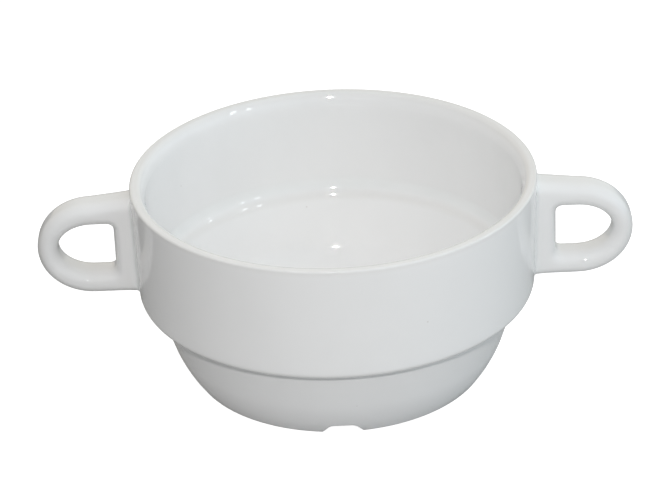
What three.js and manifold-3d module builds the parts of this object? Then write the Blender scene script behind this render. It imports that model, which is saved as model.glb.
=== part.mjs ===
// A stacking consomme bowl in glazed porcelain: a stepped bowl on a foot ring, with two looped handles.
// Millimetres, +Z up. The origin is the centre of the foot ring, on the table. Handles lie along X.
import * as THREE from 'three';
import { mergeVertices } from 'three/addons/utils/BufferGeometryUtils.js';
import Module from 'manifold-3d';

// Bowl: upper band and lip
const rimDiameter = 110;
const bowlHeight = 56.7;
const wallThickness = 4;
const lipOuterRound = 0.6;
const lipInnerRound = 3.4;
const bandTaper = 1;

// Bowl: stacking step, a ledge outside and a shelf inside
const ledgeHeight = 24;
const stackClearance = 1.1;
const stepThickness = 2.8;
const ledgeEdgeRound = 2;
const ledgeCornerRound = 1;
const shelfEdgeRound = 1.2;
const shelfCornerRound = 1.6;

// Bowl: lower bowl, floor and foot ring
const lowerWallThickness = 3.4;
const footDiameter = 80;
const footRingWidth = 4.4;
const footEdgeRound = 0.8;
const bellyFlare = 4.3;
const bellyHeight = 6.3;
const bellyRound = 32;
const floorThickness = 3.4;
const floorRound = 12;
const recessDraft = 0.8;
const recessRound = 1.2;

// Drain notches across the foot ring, front and back
const notchWidth = 11.2;
const notchTopWidth = 6.6;
const notchDepth = 3.3;
const notchRound = 1.5;
const notchRoof = 0.4;

// Handles
const handleDrop = 4.5;
const handleLift = 1.5;
const handleRise = 1.3;
const handleReach = 26.5;
const handleDepth = 10.2;
const loopBar = 6.2;
const noseBar = 5.6;
const rootBar = 5.5;
const loopStraight = 6;
const holeCornerRound = 2.4;
const edgeRoundDepth = 3;
const edgeRoundPlane = 2.4;

// Luted joint between a handle and the wall
const rootFlare = 1.4;
const slipThickness = 0.8;
const jointGap = 0.3;

// Fineness of the facets
const revolveSegments = 64;
const arcStep = THREE.MathUtils.degToRad(18);
const noseSegments = 24;
const bevelSegments = 4;
const cornerSegments = 4;
const flareSteps = 5;
const flareSweep = THREE.MathUtils.degToRad(80);

// Sizes that follow from the ones above
const rimRadius = rimDiameter / 2;
const footRadius = footDiameter / 2;
const bandHeight = bowlHeight - ledgeHeight;
const lowerTopRadius = rimRadius - wallThickness - stackClearance;
const bellyRadius = footRadius + bellyFlare;
const bellySlope = (lowerTopRadius - bellyRadius) / (ledgeHeight - bellyHeight);
const shelfHeight = ledgeHeight + stepThickness;
const recessHeight = notchDepth + notchRoof;
const floorHeight = recessHeight + floorThickness;
const handleHeight = bandHeight - handleDrop - handleLift;
const handleMiddle = ledgeHeight + handleLift + handleHeight / 2;
const rootX = bandRadius(handleMiddle);
const noseX = rootX + rootBar + loopStraight;
const topSlope = handleRise / (noseX - rootX);

const wasm = await Module();
wasm.setup();

// Outer radius of the band at a height.
function bandRadius(height) {
  return rimRadius - bandTaper * (bowlHeight - height) / bandHeight;
}

// Inner radius of the lower bowl at a height: its outer side line, moved in by the wall.
function lowerInnerRadius(height) {
  const wallAcross = lowerWallThickness * Math.hypot(1, bellySlope);
  return bellyRadius + bellySlope * (height - bellyHeight) - wallAcross;
}

// Distance from a corner to where its arc leaves each side, for corners given as [x, y, round].
function tangentLengths(corners) {
  return corners.map(([x, y, round = 0], i) => {
    if (!round) return 0;
    const here = new THREE.Vector2(x, y);
    const back = new THREE.Vector2(...corners[i - 1].slice(0, 2)).sub(here);
    const ahead = new THREE.Vector2(...corners[i + 1].slice(0, 2)).sub(here);
    return round / Math.tan(back.angleTo(ahead) / 2);
  });
}

// Shortens tangents that would meet, so that a round never outgrows the side it sits on.
function fittedTangents(corners) {
  const lengths = tangentLengths(corners);
  const crowding = corners.slice(1).map(([x, y], i) => {
    const side = Math.hypot(x - corners[i][0], y - corners[i][1]);
    return Math.max(1, (lengths[i] + lengths[i + 1]) / side);
  });
  return lengths.map((length, i) => length / Math.max(crowding[i - 1] ?? 1, crowding[i] ?? 1));
}

// An open outline through corners given as [x, y, round], with a tangent arc at each rounded corner.
function roundedOutline(corners) {
  const tangents = fittedTangents(corners);
  return corners.flatMap(([x, y], i) => {
    const here = new THREE.Vector2(x, y);
    if (!tangents[i]) return [here];
    const back = new THREE.Vector2(...corners[i - 1].slice(0, 2)).sub(here).normalize();
    const ahead = new THREE.Vector2(...corners[i + 1].slice(0, 2)).sub(here).normalize();
    return cornerArc(here, back, ahead, tangents[i]);
  });
}

// The points of the arc that replaces one corner.
function cornerArc(corner, back, ahead, tangent) {
  const halfAngle = back.angleTo(ahead) / 2;
  const radius = tangent * Math.tan(halfAngle);
  const toCentre = back.clone().add(ahead).normalize().multiplyScalar(radius / Math.sin(halfAngle));
  const centre = corner.clone().add(toCentre);
  const from = corner.clone().addScaledVector(back, tangent).sub(centre).angle();
  const to = corner.clone().addScaledVector(ahead, tangent).sub(centre).angle();
  const clockwise = back.cross(ahead) > 0;
  const steps = Math.max(2, Math.ceil((Math.PI - 2 * halfAngle) / arcStep));
  return new THREE.EllipseCurve(centre.x, centre.y, radius, radius, from, to, clockwise).getPoints(steps);
}

// A solid for cutting and joining, from a closed geometry.
function solidOf(geometry) {
  geometry.deleteAttribute('normal');
  geometry.deleteAttribute('uv');
  const merged = mergeVertices(geometry);
  const mesh = new wasm.Mesh({
    numProp: 3,
    vertProperties: new Float32Array(merged.attributes.position.array),
    triVerts: new Uint32Array(merged.index.array),
  });
  return new wasm.Manifold(mesh);
}

// The geometry of a finished solid.
function geometryOf(solid) {
  const { vertProperties, triVerts } = solid.getMesh();
  const geometry = new THREE.BufferGeometry();
  geometry.setAttribute('position', new THREE.BufferAttribute(vertProperties, 3));
  geometry.setIndex(new THREE.BufferAttribute(triVerts, 1));
  return geometry;
}

// A solid turned about Z from an outline of [radius, height] points that runs from axis to axis.
function revolve(outline) {
  const geometry = new THREE.LatheGeometry(outline, revolveSegments);
  geometry.rotateX(Math.PI / 2);
  return solidOf(geometry);
}

// Half section of the bowl, from the foot's recess outwards, up the outside and back down the inside.
function bowlOutline() {
  const footInner = footRadius - footRingWidth;
  const innerBandFoot = bandRadius(shelfHeight) - wallThickness;
  return roundedOutline([
    [0, recessHeight],
    [footInner - recessDraft, recessHeight, recessRound],
    [footInner, 0, footEdgeRound],
    [footRadius, 0, footEdgeRound],
    [bellyRadius, bellyHeight, bellyRound],
    [lowerTopRadius, ledgeHeight, ledgeCornerRound],
    [bandRadius(ledgeHeight), ledgeHeight, ledgeEdgeRound],
    [rimRadius, bowlHeight, lipOuterRound],
    [rimRadius - wallThickness, bowlHeight, lipInnerRound],
    [innerBandFoot, shelfHeight, shelfCornerRound],
    [lowerInnerRadius(shelfHeight), shelfHeight, shelfEdgeRound],
    [lowerInnerRadius(floorHeight), floorHeight, floorRound],
    [0, floorHeight],
  ]);
}

// A bar lying along Y that cuts one notch through the foot ring: at the front, or turned to the back.
function notchBar(turn) {
  const outline = roundedOutline([
    [-notchWidth / 2, -notchDepth],
    [-notchWidth / 2, 0],
    [-notchTopWidth / 2, notchDepth, notchRound],
    [notchTopWidth / 2, notchDepth, notchRound],
    [notchWidth / 2, 0],
    [notchWidth / 2, -notchDepth],
  ]);
  const length = footRingWidth + recessDraft + recessRound + bellyFlare;
  const geometry = new THREE.ExtrudeGeometry(new THREE.Shape(outline), { depth: length, bevelEnabled: false });
  geometry.rotateX(Math.PI / 2);
  geometry.translate(0, length - bellyRadius, 0);
  geometry.rotateZ(turn);
  return solidOf(geometry);
}

function bowlBody() {
  return revolve(bowlOutline()).subtract(notchBar(0)).subtract(notchBar(Math.PI));
}

// The band's outer wall grown by an offset, filled in: what a handle root or its joint is cut to.
function grownWall(offset) {
  const low = ledgeHeight - bandHeight;
  const high = bowlHeight + bandHeight;
  return revolve([
    new THREE.Vector2(0, low),
    new THREE.Vector2(bandRadius(low) + offset, low),
    new THREE.Vector2(bandRadius(high) + offset, high),
    new THREE.Vector2(0, high),
  ]);
}

// Height of the top bar's upper edge, which climbs from the nose towards the wall.
function barTop(x) {
  return handleMiddle + handleHeight / 2 + topSlope * (noseX - x);
}

// Outer edge of the handle in side view: straight bars out of the wall, joined by a half ellipse.
function loopOutline() {
  const nose = new THREE.EllipseCurve(noseX, handleMiddle, rootX + handleReach - noseX, handleHeight / 2,
    -Math.PI / 2, Math.PI / 2);
  const insideWall = rootX - wallThickness;
  return [
    new THREE.Vector2(insideWall, handleMiddle - handleHeight / 2),
    ...nose.getPoints(noseSegments),
    new THREE.Vector2(insideWall, barTop(insideWall)),
  ];
}

// Finger hole in side view: two rounded corners at the root bar and a half ellipse at the nose.
function fingerHole() {
  const rise = handleHeight / 2 - loopBar;
  const nose = new THREE.EllipseCurve(noseX, handleMiddle, rootX + handleReach - noseBar - noseX, rise,
    -Math.PI / 2, Math.PI / 2);
  const rootSide = roundedOutline([
    [noseX, handleMiddle + rise],
    [rootX + rootBar, handleMiddle + rise, holeCornerRound],
    [rootX + rootBar, handleMiddle - rise, holeCornerRound],
    [noseX, handleMiddle - rise],
  ]);
  return new THREE.Path([...nose.getPoints(noseSegments), ...rootSide.slice(1, -1)]);
}

// The handle's closed loop, its edges rounded to an oval section, running on into the wall.
function handleLoop() {
  const shape = new THREE.Shape(loopOutline());
  shape.holes.push(fingerHole());
  const flatDepth = handleDepth - 2 * edgeRoundDepth;
  const geometry = new THREE.ExtrudeGeometry(shape, {
    depth: flatDepth,
    bevelThickness: edgeRoundDepth,
    bevelSize: edgeRoundPlane,
    bevelOffset: -edgeRoundPlane,
    bevelSegments,
  });
  geometry.translate(0, 0, -flatDepth / 2);
  geometry.rotateX(Math.PI / 2);
  return solidOf(geometry);
}

// One ring of the flared root: the root's oval-cornered outline grown by spread, at a height off the wall.
function rootRing(spread, offWall) {
  const halfDepth = handleDepth / 2 - edgeRoundDepth;
  const low = handleMiddle - handleHeight / 2;
  const high = barTop(rootX + offWall);
  const halfHeight = (high - low) / 2 - edgeRoundPlane;
  const points = [];
  for (const [quarter, sideY, sideZ] of [[0, 1, 1], [1, -1, 1], [2, -1, -1], [3, 1, -1]]) {
    for (let i = 0; i <= cornerSegments; i += 1) {
      const angle = (quarter + i / cornerSegments) * Math.PI / 2;
      const y = sideY * halfDepth + (edgeRoundDepth + spread) * Math.cos(angle);
      const z = (low + high) / 2 + sideZ * halfHeight + (edgeRoundPlane + spread) * Math.sin(angle);
      points.push([Math.sqrt(bandRadius(z) ** 2 - y ** 2) + offWall, y, z]);
    }
  }
  return points;
}

// A closed solid skinned over rings of equal count, with both ends closed by fans.
function loft(rings) {
  const count = rings[0].length;
  const middleOf = (ring) => [0, 1, 2].map((axis) => ring.reduce((sum, p) => sum + p[axis], 0) / count);
  const last = rings.length - 1;
  const positions = [...rings.flat(), middleOf(rings[0]), middleOf(rings[last])];
  const index = [];
  for (let i = 0; i < count; i += 1) {
    const next = (i + 1) % count;
    for (let row = 0; row < last; row += 1) {
      const [a, b] = [row * count + i, row * count + next];
      index.push(a, b, b + count, a, b + count, a + count);
    }
    index.push(next, i, rings.length * count);
    index.push(last * count + i, last * count + next, rings.length * count + 1);
  }
  const geometry = new THREE.BufferGeometry();
  geometry.setAttribute('position', new THREE.Float32BufferAttribute(positions.flat(), 3));
  geometry.setIndex(index);
  return solidOf(geometry);
}

// The concave flare that carries the handle's root out to the wall, from inside the wall into the loop.
function flaredRoot() {
  const rings = [rootRing(rootFlare, -wallThickness / 2)];
  for (let step = 0; step <= flareSteps; step += 1) {
    const angle = flareSweep * step / flareSteps;
    rings.push(rootRing(rootFlare * (1 - Math.sin(angle)), rootFlare * (1 - Math.cos(angle))));
  }
  rings.push(rootRing(-edgeRoundPlane / 2, rootFlare));
  return loft(rings);
}

// A handle with its root face cut parallel to the wall, leaving room for the layer of slip.
function handle() {
  const rootFace = grownWall(jointGap + slipThickness + jointGap);
  return handleLoop().add(flaredRoot()).subtract(rootFace);
}

// The layer of slip that lutes the handle on: a saddle with the flare's edge.
function slipJoint() {
  return flaredRoot().intersect(grownWall(jointGap + slipThickness)).subtract(grownWall(jointGap));
}

function piece(name, solid, color, roughness) {
  const material = new THREE.MeshStandardMaterial({ color, roughness, metalness: 0 });
  const mesh = new THREE.Mesh(geometryOf(solid), material);
  mesh.name = name;
  return mesh;
}

const glazeColour = 0xe6e8e8;
const slipColour = 0xdedfdd;
const glazeRoughness = 0.08;
const slipRoughness = 0.25;

const bowl = new THREE.Group();
bowl.add(piece('bowl_body', bowlBody(), glazeColour, glazeRoughness));
for (const [side, turn] of [['right', 0], ['left', Math.PI]]) {
  const arm = new THREE.Group();
  arm.rotation.z = turn;
  arm.add(piece(`handle_${side}`, handle(), glazeColour, glazeRoughness));
  arm.add(piece(`slip_joint_${side}`, slipJoint(), slipColour, slipRoughness));
  bowl.add(arm);
}

export default bowl;
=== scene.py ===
"""Consomme bowl: a stepped white porcelain bowl with two loop handles, all under one clear glaze."""
import math

import bpy
from mathutils import Matrix, Vector


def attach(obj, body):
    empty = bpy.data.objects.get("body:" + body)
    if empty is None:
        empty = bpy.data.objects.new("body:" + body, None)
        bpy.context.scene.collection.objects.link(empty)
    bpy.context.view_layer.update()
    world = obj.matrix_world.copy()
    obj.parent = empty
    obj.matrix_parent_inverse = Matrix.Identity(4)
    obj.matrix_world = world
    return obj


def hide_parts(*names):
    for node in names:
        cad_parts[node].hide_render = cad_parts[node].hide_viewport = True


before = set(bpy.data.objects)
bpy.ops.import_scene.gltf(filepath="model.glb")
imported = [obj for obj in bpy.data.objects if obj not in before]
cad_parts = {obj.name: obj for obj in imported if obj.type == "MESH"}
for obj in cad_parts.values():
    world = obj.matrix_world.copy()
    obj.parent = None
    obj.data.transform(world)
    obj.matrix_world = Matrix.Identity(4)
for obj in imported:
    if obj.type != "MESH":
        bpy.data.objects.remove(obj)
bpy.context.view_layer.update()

MM = 0.001

# Turns of the bowl's half section in millimetres: radius, height, round, and segments of the round.
RECESS_MIDDLE = (0.0, 3.7, 0.0, 0)
RECESS_CORNER = (34.8, 3.7, 1.2, 5)
FOOT_INSIDE = (35.6, 0.0, 0.8, 5)
FOOT_OUTSIDE = (40.0, 0.0, 0.8, 5)
BELLY = (44.3, 6.3, 32.0, 10)
LEDGE_CORNER = (49.9, 24.0, 1.0, 6)
LEDGE_EDGE = (54.0, 24.0, 2.0, 10)
LIP_OUTSIDE = (55.0, 56.7, 0.6, 6)
LIP_INSIDE = (52.4, 56.7, 1.5, 8)
LIP_THROAT = (51.0, 54.05, 6.0, 8)
SHELF_CORNER = (49.78, 29.05, 6.0, 14)
SHELF_EDGE = (47.72, 26.6, 6.0, 12)
FLOOR_TURN = (40.987, 7.1, 10.0, 16)
FLOOR_MIDDLE = (0.0, 7.1, 0.0, 0)
BOWL_SECTION = (
    RECESS_MIDDLE, RECESS_CORNER, FOOT_INSIDE, FOOT_OUTSIDE, BELLY, LEDGE_CORNER, LEDGE_EDGE,
    LIP_OUTSIDE, LIP_INSIDE, LIP_THROAT, SHELF_CORNER, SHELF_EDGE, FLOOR_TURN, FLOOR_MIDDLE,
)
LONGEST_WALL_EDGE = 3.2
THROWING_STEPS = 192

# Drain notch across the foot ring, front and back
NOTCH_WIDTH = 11.2
NOTCH_TOP_WIDTH = 6.6
NOTCH_DEPTH = 3.3
NOTCH_TOP_BEVEL = 1.08
NOTCH_TOP_SEGMENTS = 6
NOTCH_LENGTH = 12.0
NOTCH_SOFTENING = 0.22
NOTCH_SOFTENING_SEGMENTS = 2
NOTCH_SHARP_EDGE = math.radians(32)

# Handle in side view: a D with two bars, the top one climbing to the wall, and a half ellipse for its nose
HANDLE_MIDDLE = 38.85
HANDLE_RISE = 13.35
HANDLE_DEPTH = 10.2
NOSE_START = 65.954
NOSE_REACH = 15.0
TOP_SLOPE = 0.113
LOOP_BAR = 6.2
NOSE_BAR = 5.6
HOLE_ROOT = 59.954
HOLE_CORNER_ROUND = 1.8
ROOT_INSIDE_WALL = 49.5
ROOT_CUT = 53.1
NOSE_STEPS = 30
CORNER_STEPS = 5
ROOT_STEPS = 6
STRAIGHT_STEPS = 2
BAR_ROUND = 2.65
BAR_ROUND_SEGMENTS = 7
BAR_OVAL = 0.72
BAR_SHARP_EDGE = math.radians(60)

# Slip fillet that the handle spreads into where it meets the wall
WALL_AT_HANDLE = 54.454
ROOT_CLIMB = TOP_SLOPE * (NOSE_START - WALL_AT_HANDLE)
ROOT_MIDDLE = HANDLE_MIDDLE + ROOT_CLIMB / 2
ROOT_RISE = HANDLE_RISE + ROOT_CLIMB / 2
FILLET = 1.2
FILLET_SWEEP = math.radians(75)
FILLET_RINGS = 6
FILLET_SINK = 0.1
FILLET_UPRIGHT_SHARE = 0.35

TOUCH = 1e-6


def alone(piece):
    """Selects one piece and nothing else."""
    bpy.ops.object.select_all(action="DESELECT")
    piece.select_set(True)
    bpy.context.view_layer.objects.active = piece


def open_mesh(piece, mode="VERT"):
    """Goes into edit mode on one piece with nothing picked."""
    alone(piece)
    bpy.ops.object.mode_set(mode="EDIT")
    bpy.ops.mesh.select_mode(type=mode)
    bpy.ops.mesh.select_all(action="DESELECT")


def close_mesh():
    bpy.ops.object.mode_set(mode="OBJECT")


def pick_points(piece, wanted):
    """Opens the mesh with the points picked whose place is wanted."""
    open_mesh(piece, "VERT")
    close_mesh()
    for point in piece.data.vertices:
        point.select = wanted(point.co)
    bpy.ops.object.mode_set(mode="EDIT")


def pick_edges(piece, wanted):
    """Opens the mesh with the edges picked whose two ends are wanted, and says if there are any."""
    open_mesh(piece, "EDGE")
    close_mesh()
    found = False
    for edge in piece.data.edges:
        first, second = (piece.data.vertices[end].co for end in edge.vertices)
        edge.select = wanted(first, second)
        found = found or edge.select
    bpy.ops.object.mode_set(mode="EDIT")
    return found


def apply_all(piece):
    """Applies the piece's modifiers in their order."""
    alone(piece)
    for modifier in list(piece.modifiers):
        bpy.ops.object.modifier_apply(modifier=modifier.name)


def heal(piece):
    """Merges doubled points and turns the faces outwards."""
    open_mesh(piece)
    bpy.ops.mesh.select_all(action="SELECT")
    bpy.ops.mesh.remove_doubles(threshold=TOUCH)
    bpy.ops.mesh.normals_make_consistent(inside=False)
    close_mesh()


def draw_chain(name, places):
    """A chain of edges, drawn by extruding one point from place to place."""
    bpy.ops.object.select_all(action="DESELECT")
    bpy.ops.mesh.primitive_plane_add(size=MM, location=(0, 0, 0))
    piece = bpy.context.object
    piece.name = name
    piece.data.name = name
    bpy.ops.object.mode_set(mode="EDIT")
    bpy.ops.mesh.select_mode(type="VERT")
    bpy.ops.mesh.select_all(action="SELECT")
    bpy.ops.mesh.merge(type="CENTER")
    bpy.ops.transform.translate(value=places[0])
    for here, there in zip(places, places[1:]):
        bpy.ops.mesh.extrude_vertices_move(TRANSFORM_OT_translate={"value": there - here})
    close_mesh()
    return piece


def section_place(turn):
    return Vector((turn[0] * MM, 0, turn[1] * MM))


def round_turns(piece, turns):
    """Rounds the turns of a drawn section, each over its own tangent length."""
    for before, turn, after in zip(turns, turns[1:], turns[2:]):
        radius, segments = turn[2] * MM, turn[3]
        if not segments:
            continue
        corner = section_place(turn)
        bend = (corner - section_place(before)).angle(section_place(after) - corner)
        pick_points(piece, lambda place: (place - corner).length < TOUCH)
        bpy.ops.mesh.bevel(offset=radius * math.tan(bend / 2), affect="VERTICES", segments=segments)
        close_mesh()


def split_long_edges(piece, longest):
    """Halves edges until none is longer than the given length, so that shading stays even."""
    while pick_edges(piece, lambda first, second: (first - second).length > longest):
        bpy.ops.mesh.subdivide(number_cuts=1)
        close_mesh()
    close_mesh()


def notch_bar(turn):
    """A bar along Y with a narrower rounded top, which cuts one drain notch."""
    bpy.ops.object.select_all(action="DESELECT")
    bpy.ops.mesh.primitive_cube_add(size=1, location=(0, 0, 0))
    bar = bpy.context.object
    reach = (FOOT_INSIDE[0] + BELLY[0]) / 2
    open_mesh(bar)
    bpy.ops.mesh.select_all(action="SELECT")
    size = (NOTCH_WIDTH * MM, NOTCH_LENGTH * MM, NOTCH_DEPTH * MM)
    bpy.ops.transform.resize(value=size, center_override=(0, 0, 0))
    bpy.ops.transform.translate(value=(0, -reach * MM, NOTCH_DEPTH * MM / 2))
    close_mesh()
    pick_points(bar, lambda place: place.z > NOTCH_DEPTH * MM / 2)
    narrow = NOTCH_TOP_WIDTH / NOTCH_WIDTH
    bpy.ops.transform.resize(value=(narrow, 1, 1), center_override=(0, 0, 0))
    close_mesh()
    top = NOTCH_DEPTH * MM - TOUCH

    def along_top(first, second):
        return min(first.z, second.z) > top and abs(first.x - second.x) < TOUCH

    pick_edges(bar, along_top)
    bpy.ops.mesh.bevel(offset=NOTCH_TOP_BEVEL * MM, affect="EDGES", segments=NOTCH_TOP_SEGMENTS)
    close_mesh()
    pick_points(bar, lambda place: place.z < TOUCH)
    bpy.ops.mesh.extrude_region_move(TRANSFORM_OT_translate={"value": (0, 0, -NOTCH_DEPTH * MM)})
    bpy.ops.mesh.select_all(action="SELECT")
    bpy.ops.transform.rotate(value=turn, orient_axis="Z", center_override=(0, 0, 0))
    close_mesh()
    heal(bar)
    return bar


def cut_notches(bowl):
    """Cuts the front and back notches and softens their edges as the glaze does."""
    bars = [notch_bar(0), notch_bar(math.pi)]
    for bar in bars:
        cut = bowl.modifiers.new("drain notch", "BOOLEAN")
        cut.operation = "DIFFERENCE"
        cut.solver = "EXACT"
        cut.object = bar
    apply_all(bowl)
    for bar in bars:
        bpy.data.objects.remove(bar)
    open_mesh(bowl, "EDGE")
    bpy.ops.mesh.edges_select_sharp(sharpness=NOTCH_SHARP_EDGE)
    bpy.ops.mesh.bevel(offset=NOTCH_SOFTENING * MM, affect="EDGES", segments=NOTCH_SOFTENING_SEGMENTS,
                       clamp_overlap=True)
    close_mesh()
    heal(bowl)


def make_bowl():
    """The bowl, spun from its half section as on a wheel, with its two drain notches."""
    bowl = draw_chain("glazed_bowl", [section_place(turn) for turn in BOWL_SECTION])
    round_turns(bowl, BOWL_SECTION)
    split_long_edges(bowl, LONGEST_WALL_EDGE * MM)
    open_mesh(bowl)
    bpy.ops.mesh.select_all(action="SELECT")
    bpy.ops.mesh.spin(steps=THROWING_STEPS, angle=2 * math.pi, center=(0, 0, 0), axis=(0, 0, 1))
    close_mesh()
    heal(bowl)
    cut_notches(bowl)
    alone(bowl)
    bpy.ops.object.shade_smooth()
    return bowl


def side_view(x, z):
    return Vector((x * MM, -HANDLE_DEPTH * MM / 2, z * MM))


def between(start, end, steps):
    """Evenly spaced values from start up to, but without, end."""
    return [start + (end - start) * step / steps for step in range(steps)]


def half_loop_pairs(side, slope):
    """Pairs of outer and hole points, from the nose tip over one bar to the middle of the root."""
    def bar_edge(x):
        return HANDLE_MIDDLE + side * HANDLE_RISE + slope * (NOSE_START - x)

    hole_rise = HANDLE_RISE - LOOP_BAR
    hole_edge = HANDLE_MIDDLE + side * hole_rise
    corner_x, corner_z = HOLE_ROOT + HOLE_CORNER_ROUND, hole_edge - side * HOLE_CORNER_ROUND
    pairs = []
    for turn in between(0, math.pi / 2, NOSE_STEPS // 2):
        cosine, sine = math.cos(turn), side * math.sin(turn)
        outer = (NOSE_START + NOSE_REACH * cosine, HANDLE_MIDDLE + HANDLE_RISE * sine)
        hole = (NOSE_START + (NOSE_REACH - NOSE_BAR) * cosine, HANDLE_MIDDLE + hole_rise * sine)
        pairs.append((outer, hole))
    for x in between(NOSE_START, corner_x, STRAIGHT_STEPS):
        pairs.append(((x, bar_edge(x)), (x, hole_edge)))
    for share in between(0, 1, CORNER_STEPS):
        turn = math.pi / 2 * (1 + share)
        x = corner_x + (ROOT_INSIDE_WALL - corner_x) * share
        hole_x = corner_x + HOLE_CORNER_ROUND * math.cos(turn)
        pairs.append(((x, bar_edge(x)), (hole_x, corner_z + side * HOLE_CORNER_ROUND * math.sin(turn))))
    root_edge = bar_edge(ROOT_INSIDE_WALL)
    for share in between(0, 1, ROOT_STEPS // 2):
        outer = (ROOT_INSIDE_WALL, root_edge + (HANDLE_MIDDLE - root_edge) * share)
        pairs.append((outer, (HOLE_ROOT, corner_z + (HANDLE_MIDDLE - corner_z) * share)))
    pairs.append(((ROOT_INSIDE_WALL, HANDLE_MIDDLE), (HOLE_ROOT, HANDLE_MIDDLE)))
    return pairs


def loop_edges():
    """The outer edge and the finger hole in side view, as two closed chains with matching points."""
    upper = half_loop_pairs(1, TOP_SLOPE)
    lower = half_loop_pairs(-1, 0)
    pairs = upper + lower[-2::-1]
    return [[side_view(*pair[edge]) for pair in pairs] for edge in (0, 1)]


def handle_plate():
    """The flat D with its finger hole, drawn in side view and pulled out to the handle's depth."""
    outer, hole = (draw_chain("glazed_handle_right", chain) for chain in loop_edges())
    alone(outer)
    hole.select_set(True)
    bpy.ops.object.join()
    plate = bpy.context.object
    heal(plate)
    open_mesh(plate, "EDGE")
    bpy.ops.mesh.select_all(action="SELECT")
    bpy.ops.mesh.bridge_edge_loops()
    bpy.ops.mesh.select_all(action="SELECT")
    bpy.ops.mesh.extrude_region_move(TRANSFORM_OT_translate={"value": (0, HANDLE_DEPTH * MM, 0)})
    close_mesh()
    heal(plate)
    return plate


def round_bars(plate):
    """Rounds the long edges, pressed flat meanwhile, so that the bars come out oval."""
    open_mesh(plate)
    bpy.ops.mesh.select_all(action="SELECT")
    bpy.ops.transform.resize(value=(1, BAR_OVAL, 1), center_override=(0, 0, 0))
    bpy.ops.mesh.select_mode(type="EDGE")
    bpy.ops.mesh.select_all(action="DESELECT")
    bpy.ops.mesh.edges_select_sharp(sharpness=BAR_SHARP_EDGE)
    bpy.ops.mesh.bevel(offset=BAR_ROUND * MM, affect="EDGES", segments=BAR_ROUND_SEGMENTS)
    bpy.ops.mesh.select_all(action="SELECT")
    bpy.ops.transform.resize(value=(1, 1 / BAR_OVAL, 1), center_override=(0, 0, 0))
    close_mesh()


def cut_ring(piece, x, trim=False):
    """Cuts a ring of edges round the handle's root at one distance from the bowl's middle."""
    open_mesh(piece)
    bpy.ops.mesh.select_all(action="SELECT")
    bpy.ops.mesh.bisect(plane_co=(x, 0, 0), plane_no=(1, 0, 0), use_fill=trim, clear_inner=trim)
    close_mesh()


def lay_on_wall(piece, wall, points, gap):
    """Moves a ring of points along X until it lies at one gap from the bowl's wall all round."""
    ring = piece.vertex_groups.new(name="ring")
    ring.add(points, 1.0, "REPLACE")
    wrap = piece.modifiers.new("ring on wall", "SHRINKWRAP")
    wrap.target = wall
    wrap.vertex_group = ring.name
    wrap.wrap_method = "PROJECT"
    wrap.wrap_mode = "ABOVE_SURFACE"
    wrap.use_project_x = True
    wrap.use_negative_direction = True
    wrap.use_positive_direction = True
    wrap.offset = gap
    apply_all(piece)
    piece.vertex_groups.clear()


def fillet_rings():
    """Gap to the wall and spread of each ring of the fillet: a cove, then straight on into the wall."""
    rings = []
    for ring in range(FILLET_RINGS + 1):
        turn = FILLET_SWEEP * ring / FILLET_RINGS
        rings.append((FILLET * (1 - math.sin(turn)), FILLET * (1 - math.cos(turn))))
    gap, spread = rings[-1]
    rings.append((-FILLET_SINK, spread + (gap + FILLET_SINK) * math.tan(FILLET_SWEEP)))
    return rings


def spread_root(handle, wall):
    """Spreads the handle's root into its slip fillet, ring by ring, along the wall."""
    rings = fillet_rings()
    for gap, spread in rings:
        cut_ring(handle, (WALL_AT_HANDLE + gap) * MM)
    cut_ring(handle, ROOT_CUT * MM, trim=True)
    inside = (ROOT_CUT - WALL_AT_HANDLE, rings[-1][1])
    for gap, spread in rings + [inside]:
        x = (WALL_AT_HANDLE + gap) * MM
        pick_points(handle, lambda place: abs(place.x - x) < TOUCH)
        wider = (1, 1 + spread / (HANDLE_DEPTH / 2), 1 + spread * FILLET_UPRIGHT_SHARE / ROOT_RISE)
        bpy.ops.transform.resize(value=wider, center_override=(x, 0, ROOT_MIDDLE * MM))
        close_mesh()
        points = [point.index for point in handle.data.vertices if point.select]
        if (gap, spread) != inside:
            lay_on_wall(handle, wall, points, gap * MM)


def make_handle(wall):
    """The right handle: a closed D loop of oval bar with its root spread onto the wall."""
    handle = handle_plate()
    round_bars(handle)
    spread_root(handle, wall)
    smooth = handle.modifiers.new("soft clay", "SUBSURF")
    smooth.levels = 1
    smooth.render_levels = 1
    apply_all(handle)
    heal(handle)
    alone(handle)
    bpy.ops.object.shade_smooth()
    return handle


def turned_copy(piece, name):
    """The same handle on the other side of the bowl, with its own mesh."""
    alone(piece)
    bpy.ops.object.duplicate()
    copy = bpy.context.object
    copy.name = name
    copy.data.name = name
    open_mesh(copy)
    bpy.ops.mesh.select_all(action="SELECT")
    bpy.ops.transform.rotate(value=math.pi, orient_axis="Z", center_override=(0, 0, 0))
    close_mesh()
    return copy


# Finish
BODY_WHITE = (0.863, 0.862, 0.86, 1)
HANDLE_WHITE = (0.842, 0.841, 0.839, 1)
POOLED_WHITE = (0.84, 0.85, 0.847, 1)
THIN_WHITE = (0.82, 0.815, 0.805, 1)
CLOUD_DARK = (0.853, 0.852, 0.85, 1)
SPECK_GREY = (0.55, 0.52, 0.48, 1)
BARE_CLAY = (0.70, 0.675, 0.63, 1)
RUBBED_CLAY = (0.52, 0.51, 0.49, 1)
GLAZE_IOR = 1.5

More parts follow.
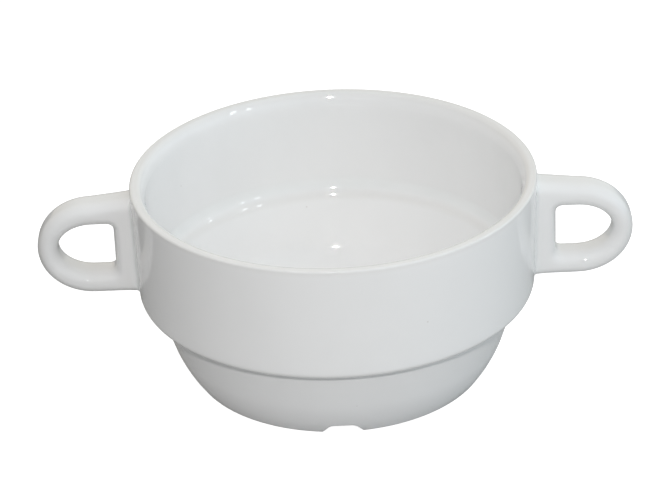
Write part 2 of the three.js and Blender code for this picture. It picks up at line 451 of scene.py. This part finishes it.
# Where the glaze pools or thins, with its reach in millimetres
POOLED_TURNS = ((SHELF_CORNER, 3.4), (LEDGE_CORNER, 2.4), (RECESS_CORNER, 3.0))
THIN_TURNS = ((LIP_OUTSIDE, 2.2), (LIP_INSIDE, 2.2), (SHELF_EDGE, 2.2), (LEDGE_EDGE, 2.4))
ROOT_TURN = (WALL_AT_HANDLE, HANDLE_MIDDLE)
ROOT_POOL_REACH = 2.4
NOSE_TURN = (NOSE_START + NOSE_REACH, HANDLE_MIDDLE)
NOSE_THIN_REACH = 3.2

# Clouds, specks and ripple of the glaze
CLOUD_RANGE = (0.42, 0.72)
SPECK_EDGE = (0.075, 0.03)
SPECK_RARITY = (0.965, 0.975)
SPECK_STRENGTH = 0.5
PEEL_SHARE = 0.12
RIPPLE_DEPTH = 0.02
HANDLE_RIPPLE_SCALE = 140.0

# Bare clay on the standing face, with heights in millimetres
BARE_EDGE = (0.12, 0.02)
BARE_WANDER = 0.28
WANDER_SCALE = 240.0
GRAIN_SCALE = 1900.0
RUB_SCALE = 130.0
RUB_RANGE = (0.55, 0.75)
DRY_ROUGHNESS = 0.5
GRAIN_ROUGHNESS = 0.2
SAND_HEIGHT = 1.5


def node(tree, kind, inputs=None, **settings):
    """Adds a node: inputs are values, or sockets to join."""
    made = tree.nodes.new(kind)
    for key, value in settings.items():
        setattr(made, key, value)
    for key, value in (inputs or {}).items():
        if isinstance(value, bpy.types.NodeSocket):
            tree.links.new(value, made.inputs[key])
        else:
            made.inputs[key].default_value = value
    return made


def calc(tree, operation, first, second=0.0, clamp=False):
    made = node(tree, "ShaderNodeMath", {0: first, 1: second}, operation=operation, use_clamp=clamp)
    return made.outputs[0]


def fade(tree, value, start, end):
    """0 at start, 1 at end, eased between them."""
    made = node(tree, "ShaderNodeMapRange", {"Value": value, "From Min": start, "From Max": end},
                interpolation_type="SMOOTHSTEP")
    return made.outputs["Result"]


def noise(tree, place, scale, detail):
    made = node(tree, "ShaderNodeTexNoise", {"Vector": place, "Scale": scale, "Detail": detail})
    return made.outputs["Fac"]


def blend_colours(tree, share, first, second):
    made = node(tree, "ShaderNodeMix", {"Factor": share}, data_type="RGBA")
    for socket, value in ((made.inputs[6], first), (made.inputs[7], second)):
        if isinstance(value, bpy.types.NodeSocket):
            tree.links.new(value, socket)
        else:
            socket.default_value = value
    return made.outputs[2]


def new_group(name, inputs, outputs):
    """An empty node group with named sockets: inputs as {name: (kind, value)}, outputs as {name: kind}."""
    group = bpy.data.node_groups.new(name, "ShaderNodeTree")
    for label, (kind, value) in inputs.items():
        socket = group.interface.new_socket(name=label, in_out="INPUT", socket_type=kind)
        if value is not None:
            socket.default_value = value
    for label, kind in outputs.items():
        group.interface.new_socket(name=label, in_out="OUTPUT", socket_type=kind)
    return group, group.nodes.new("NodeGroupInput").outputs, group.nodes.new("NodeGroupOutput").inputs


NUMBER = "NodeSocketFloat"
COLOUR = "NodeSocketColor"
PLACE = "NodeSocketVector"


def ring_group():
    """Mask of what lies near one ring round the bowl's axis. Flatten 0 leaves the height out of account."""
    group, given, result = new_group(
        "near_ring",
        {"Place": (PLACE, None), "Radius": (NUMBER, 0.05), "Height": (NUMBER, 0.0),
         "Flatten": (NUMBER, 1.0), "Reach": (NUMBER, 0.003)},
        {"Mask": NUMBER},
    )
    parts = node(group, "ShaderNodeSeparateXYZ", {0: given["Place"]}).outputs
    across = node(group, "ShaderNodeCombineXYZ", {0: parts[0], 1: parts[1]}).outputs[0]
    radius = node(group, "ShaderNodeVectorMath", {0: across}, operation="LENGTH").outputs["Value"]
    aside = calc(group, "SUBTRACT", radius, given["Radius"])
    above = calc(group, "SUBTRACT", parts[2], given["Height"])
    above = calc(group, "MULTIPLY", above, given["Flatten"])
    offset = node(group, "ShaderNodeCombineXYZ", {0: aside, 1: above}).outputs[0]
    distance = node(group, "ShaderNodeVectorMath", {0: offset}, operation="LENGTH").outputs["Value"]
    group.links.new(fade(group, distance, given["Reach"], 0.0), result["Mask"])
    return group


def tone_group():
    """Colour of the glazed clay: faint clouds, glaze pooled or thin by the masks, a few pin specks."""
    group, given, result = new_group(
        "glaze_tone",
        {"Place": (PLACE, None), "Body": (COLOUR, BODY_WHITE), "Pooled": (NUMBER, 0.0),
         "Thin": (NUMBER, 0.0), "Cloud Scale": (NUMBER, 55.0), "Speck Scale": (NUMBER, 260.0)},
        {"Colour": COLOUR},
    )
    place = given["Place"]
    cloud = fade(group, noise(group, place, given["Cloud Scale"], 3.0), *CLOUD_RANGE)
    colour = blend_colours(group, cloud, given["Body"], CLOUD_DARK)
    colour = blend_colours(group, given["Pooled"], colour, POOLED_WHITE)
    colour = blend_colours(group, given["Thin"], colour, THIN_WHITE)
    cells = node(group, "ShaderNodeTexVoronoi", {"Vector": place, "Scale": given["Speck Scale"]})
    spot = fade(group, cells.outputs["Distance"], *SPECK_EDGE)
    chosen = node(group, "ShaderNodeSeparateColor", {0: cells.outputs["Color"]}).outputs[0]
    speck = calc(group, "MULTIPLY", spot, fade(group, chosen, *SPECK_RARITY))
    speck = calc(group, "MULTIPLY", speck, SPECK_STRENGTH)
    colour = blend_colours(group, speck, colour, SPECK_GREY)
    group.links.new(colour, result["Colour"])
    return group


def skin_group():
    """The fired glaze's skin: a slow ripple with a fine orange peel, and a gloss that drifts a little."""
    group, given, result = new_group(
        "glaze_skin",
        {"Place": (PLACE, None), "Ripple Scale": (NUMBER, 90.0), "Peel Scale": (NUMBER, 700.0),
         "Gloss": (NUMBER, 0.035), "Gloss Drift": (NUMBER, 0.025)},
        {"Height": NUMBER, "Roughness": NUMBER},
    )
    place = given["Place"]
    ripple = noise(group, place, given["Ripple Scale"], 1.0)
    peel = noise(group, place, given["Peel Scale"], 2.0)
    height = calc(group, "ADD", ripple, calc(group, "MULTIPLY", peel, PEEL_SHARE))
    group.links.new(height, result["Height"])
    drift = calc(group, "MULTIPLY", peel, given["Gloss Drift"])
    group.links.new(calc(group, "ADD", drift, given["Gloss"]), result["Roughness"])
    return group


def new_material(name):
    material = bpy.data.materials.new(name)
    material.use_nodes = True
    tree = material.node_tree
    tree.nodes.clear()
    place = node(tree, "ShaderNodeTexCoord").outputs["Object"]
    return material, tree, place


def placed(tree, group, inputs):
    """A group's outputs, placed in a material with the material's own values."""
    return node(tree, "ShaderNodeGroup", inputs, node_tree=group).outputs


def ring_mask(tree, place, turn, reach, flatten=1.0):
    """Mask of what lies near one turn of the bowl's section."""
    inputs = {"Place": place, "Radius": turn[0] * MM, "Height": turn[1] * MM, "Flatten": flatten,
              "Reach": reach * MM}
    return placed(tree, near_ring, inputs)["Mask"]


def strongest(tree, masks):
    result = masks[0]
    for mask in masks[1:]:
        result = calc(tree, "MAXIMUM", result, mask)
    return result


def surface(tree, colour, roughness, height):
    """The glazed surface itself."""
    bump = node(tree, "ShaderNodeBump", {"Height": height, "Distance": RIPPLE_DEPTH * MM, "Strength": 1.0})
    glaze = node(tree, "ShaderNodeBsdfPrincipled",
                 {"Base Color": colour, "Roughness": roughness, "IOR": GLAZE_IOR, "Normal": bump.outputs[0]})
    node(tree, "ShaderNodeOutputMaterial", {"Surface": glaze.outputs[0]})


def bare_face(tree, place):
    """Mask of the standing face, where the glaze is wiped off up to a wandering edge."""
    height = node(tree, "ShaderNodeSeparateXYZ", {0: place}).outputs[2]
    wander = calc(tree, "MULTIPLY", noise(tree, place, WANDER_SCALE, 2.0), BARE_WANDER * MM)
    return fade(tree, calc(tree, "SUBTRACT", height, wander), BARE_EDGE[0] * MM, BARE_EDGE[1] * MM)


def bowl_glaze():
    """Clear gloss glaze: pooled in hollow corners, thin on edges and wiped off the standing face."""
    material, tree, place = new_material("glaze_on_bowl")
    pooled = strongest(tree, [ring_mask(tree, place, turn, reach) for turn, reach in POOLED_TURNS])
    thin = strongest(tree, [ring_mask(tree, place, turn, reach) for turn, reach in THIN_TURNS])
    tone = placed(tree, glaze_tone, {"Place": place, "Pooled": pooled, "Thin": thin})["Colour"]
    skin = placed(tree, glaze_skin, {"Place": place})
    bare = bare_face(tree, place)
    grain = noise(tree, place, GRAIN_SCALE, 3.0)
    rub = fade(tree, noise(tree, place, RUB_SCALE, 4.0), *RUB_RANGE)
    colour = blend_colours(tree, bare, tone, blend_colours(tree, rub, BARE_CLAY, RUBBED_CLAY))
    dryness = calc(tree, "ADD", calc(tree, "MULTIPLY", grain, GRAIN_ROUGHNESS), DRY_ROUGHNESS)
    roughness = calc(tree, "ADD", skin["Roughness"], calc(tree, "MULTIPLY", bare, dryness))
    sand = calc(tree, "MULTIPLY", calc(tree, "MULTIPLY", grain, bare), SAND_HEIGHT)
    surface(tree, colour, roughness, calc(tree, "ADD", skin["Height"], sand))
    return material


def handle_glaze():
    """The same glaze on the handles, pooled along the wall and thin on the nose."""
    material, tree, place = new_material("glaze_on_handles")
    pooled = ring_mask(tree, place, ROOT_TURN, ROOT_POOL_REACH, flatten=0.0)
    thin = ring_mask(tree, place, NOSE_TURN, NOSE_THIN_REACH, flatten=0.0)
    inputs = {"Place": place, "Body": HANDLE_WHITE, "Pooled": pooled, "Thin": thin}
    tone = placed(tree, glaze_tone, inputs)["Colour"]
    skin = placed(tree, glaze_skin, {"Place": place, "Ripple Scale": HANDLE_RIPPLE_SCALE})
    surface(tree, tone, skin["Roughness"], skin["Height"])
    return material


def give(piece, material, *nodes):
    """Dresses a piece and lets it stand for its CAD nodes."""
    piece.data.materials.clear()
    piece.data.materials.append(material)
    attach(piece, "root")
    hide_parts(*nodes)


# Studio
FLOOR_SIZE = 6.0
FLOOR_GAP = 0.00005
FLOOR_TONE = (0.5, 0.5, 0.5, 1)
# Painted shade: the paper's own colour darkens towards the left, standing in for shade on that side of the
# floor
FLOOR_PAINTED_SHADE = (0.22, 0.22, 0.22, 1)
FLOOR_PAINTED_SHADE_START = -0.035
FLOOR_PAINTED_SHADE_FULL = -0.14
FLOOR_SEEN = 0.9
FLOOR_OPENING = 0.034
FOOT_OPENING = 0.0052
PAPER_WHITE = (1.0, 1.0, 1.0, 1)
PAPER_GRAIN_SCALE = 30.0
PAPER_GRAIN_SHARE = 0.05

CAMERA_PLACE = (-1.540, -771.476, 443.186)
CAMERA_DOWN = 27.902
CAMERA_ROLL = -2.343
FOCAL_PIXELS = 3200.0
PHOTO_WIDTH = 660.0
SENSOR = 36.0
CAMERA_CLIP = 0.01

SKY_TOP = 0.15
SKY_TOP_TONE = (1.0, 1.0, 1.0, 1)
SKY_BACK = 0.58
SKY_BACK_TONE = (1.0, 0.9, 0.72, 1)
SKY_LEFT = 0.47
SKY_LEFT_TONE = (0.97, 0.985, 1.0, 1)
SKY_LEFT_SIDE = (-0.7, 0, 0.7)
SKY_RIGHT = 0.98
SKY_RIGHT_TONE = (0.8, 0.92, 1.0, 1)
SKY_SIDES = (
    ((0, 0, 1), SKY_TOP, SKY_TOP_TONE),
    ((0, 1, 0), SKY_BACK, SKY_BACK_TONE),
    (SKY_LEFT_SIDE, SKY_LEFT, SKY_LEFT_TONE),
    ((1, 0, 0), SKY_RIGHT, SKY_RIGHT_TONE),
)

FLASH_PLACE = (0.0, -0.78, 0.56)
FLASH_WIDTH = 0.022
FLASH_HEIGHT = 0.05
FLASH_POWER = 3.64
FLASH_TONE = (1.0, 0.985, 0.97)
WINDOW_DISTANCE = 1.2
WINDOW_UP = math.radians(28)
WINDOW_PANES = ((2, 0.05, 0.14), (-27, 0.07, 0.2), (-38, 0.07, 0.2))
WINDOW_HEIGHT = 0.14
WINDOW_TONE = (0.93, 0.98, 1.0)
BOWL_MIDDLE = Vector((0, 0, 0.035))


def floor_opening(tree, place):
    """Mask of what lets light through: the floor from below, and under the foot beside the notches."""
    across = node(tree, "ShaderNodeSeparateXYZ", {0: place}).outputs[0]
    beside = calc(tree, "GREATER_THAN", calc(tree, "ABSOLUTE", across), NOTCH_WIDTH * MM)
    reach = calc(tree, "ADD", calc(tree, "MULTIPLY", beside, FOOT_OPENING), FLOOR_OPENING)
    middle = node(tree, "ShaderNodeVectorMath", {0: place}, operation="LENGTH").outputs["Value"]
    below = node(tree, "ShaderNodeNewGeometry").outputs["Backfacing"]
    return calc(tree, "MAXIMUM", below, calc(tree, "LESS_THAN", middle, reach))


def floor_paper():
    """Paper seen as plain white, with a soft shadow, and with painted shade darkening its left side, so that
    it throws less light back on the left.
    """
    material, tree, place = new_material("white_floor")
    across = node(tree, "ShaderNodeSeparateXYZ", {0: place}).outputs[0]
    # Painted shade on the paper's left side, so that less light is thrown back onto the bowl's left
    left_painted_shade = fade(tree, across, FLOOR_PAINTED_SHADE_START, FLOOR_PAINTED_SHADE_FULL)
    grain = calc(tree, "MULTIPLY", noise(tree, place, PAPER_GRAIN_SCALE, 2.0), PAPER_GRAIN_SHARE)
    tone = blend_colours(tree, grain, blend_colours(tree, left_painted_shade, FLOOR_TONE, FLOOR_PAINTED_SHADE), PAPER_WHITE)
    paper = node(tree, "ShaderNodeBsdfDiffuse", {"Color": tone})
    seen = node(tree, "ShaderNodeLightPath").outputs["Is Camera Ray"]
    share = calc(tree, "MULTIPLY", seen, FLOOR_SEEN)
    white = node(tree, "ShaderNodeEmission", {"Color": PAPER_WHITE, "Strength": share})
    mixed = node(tree, "ShaderNodeAddShader", {0: paper.outputs[0], 1: white.outputs[0]})
    clear = node(tree, "ShaderNodeBsdfTransparent")
    opened = floor_opening(tree, place)
    shown = node(tree, "ShaderNodeMixShader", {0: opened, 1: mixed.outputs[0], 2: clear.outputs[0]})
    node(tree, "ShaderNodeOutputMaterial", {"Surface": shown.outputs[0]})
    return material


def make_floor():
    bpy.ops.object.select_all(action="DESELECT")
    bpy.ops.mesh.primitive_plane_add(size=FLOOR_SIZE, location=(0, 0, -FLOOR_GAP))
    floor = bpy.context.object
    floor.name = "floor"
    floor.data.materials.append(floor_paper())


def make_sky():
    """Soft light from four sides, with a cool share from the right."""
    world = bpy.data.worlds.new("studio")
    bpy.context.scene.world = world
    world.use_nodes = True
    tree = world.node_tree
    tree.nodes.clear()
    direction = node(tree, "ShaderNodeTexCoord").outputs["Generated"]
    light = None
    for side, strength, tone in SKY_SIDES:
        facing = node(tree, "ShaderNodeVectorMath", {0: direction, 1: side}, operation="DOT_PRODUCT")
        level = calc(tree, "MULTIPLY", calc(tree, "MAXIMUM", facing.outputs["Value"], 0.0), strength)
        share = node(tree, "ShaderNodeBackground", {"Color": tone, "Strength": level}).outputs[0]
        light = node(tree, "ShaderNodeAddShader", {0: light, 1: share}).outputs[0] if light else share
    node(tree, "ShaderNodeOutputWorld", {"Surface": light})


def add_lamp(name, place, power, width, height, tone):
    """A lamp with a flat pane, turned towards the bowl."""
    data = bpy.data.lights.new(name, "AREA")
    data.energy = power
    data.color = tone
    data.shape = "RECTANGLE"
    data.size = width
    data.size_y = height
    lamp = bpy.data.objects.new(name, data)
    bpy.context.scene.collection.objects.link(lamp)
    lamp.location = place
    lamp.rotation_euler = (BOWL_MIDDLE - Vector(place)).to_track_quat("-Z", "Y").to_euler()


def make_lamps():
    add_lamp("flash", FLASH_PLACE, FLASH_POWER, FLASH_WIDTH, FLASH_HEIGHT, FLASH_TONE)
    for number, (turn, width, power) in enumerate(WINDOW_PANES):
        level = Matrix.Rotation(math.radians(turn), 3, "Z") @ Vector((math.cos(WINDOW_UP), 0, 0))
        place = (level + Vector((0, 0, math.sin(WINDOW_UP)))) * WINDOW_DISTANCE
        add_lamp(f"window_pane_{number}", place, power, width, WINDOW_HEIGHT, WINDOW_TONE)


def make_camera():
    data = bpy.data.cameras.new("camera")
    data.sensor_fit = "HORIZONTAL"
    data.sensor_width = SENSOR
    data.lens = FOCAL_PIXELS / PHOTO_WIDTH * SENSOR
    data.clip_start = CAMERA_CLIP
    camera = bpy.data.objects.new("camera", data)
    bpy.context.scene.collection.objects.link(camera)
    tilt = Matrix.Rotation(math.radians(90 - CAMERA_DOWN), 4, "X")
    roll = Matrix.Rotation(math.radians(CAMERA_ROLL), 4, "Z")
    camera.matrix_world = Matrix.Translation(Vector(CAMERA_PLACE) * MM) @ tilt @ roll
    bpy.context.scene.camera = camera


make_camera()
bowl = make_bowl()
handle_right = make_handle(bowl)
handle_left = turned_copy(handle_right, "glazed_handle_left")

near_ring = ring_group()
glaze_tone = tone_group()
glaze_skin = skin_group()
glaze_of_handles = handle_glaze()
give(bowl, bowl_glaze(), "bowl_body")
give(handle_right, glaze_of_handles, "handle_right", "slip_joint_right")
give(handle_left, glaze_of_handles, "handle_left", "slip_joint_left")

make_floor()
make_sky()
make_lamps()
bpy.context.scene.view_settings.view_transform = "Standard"
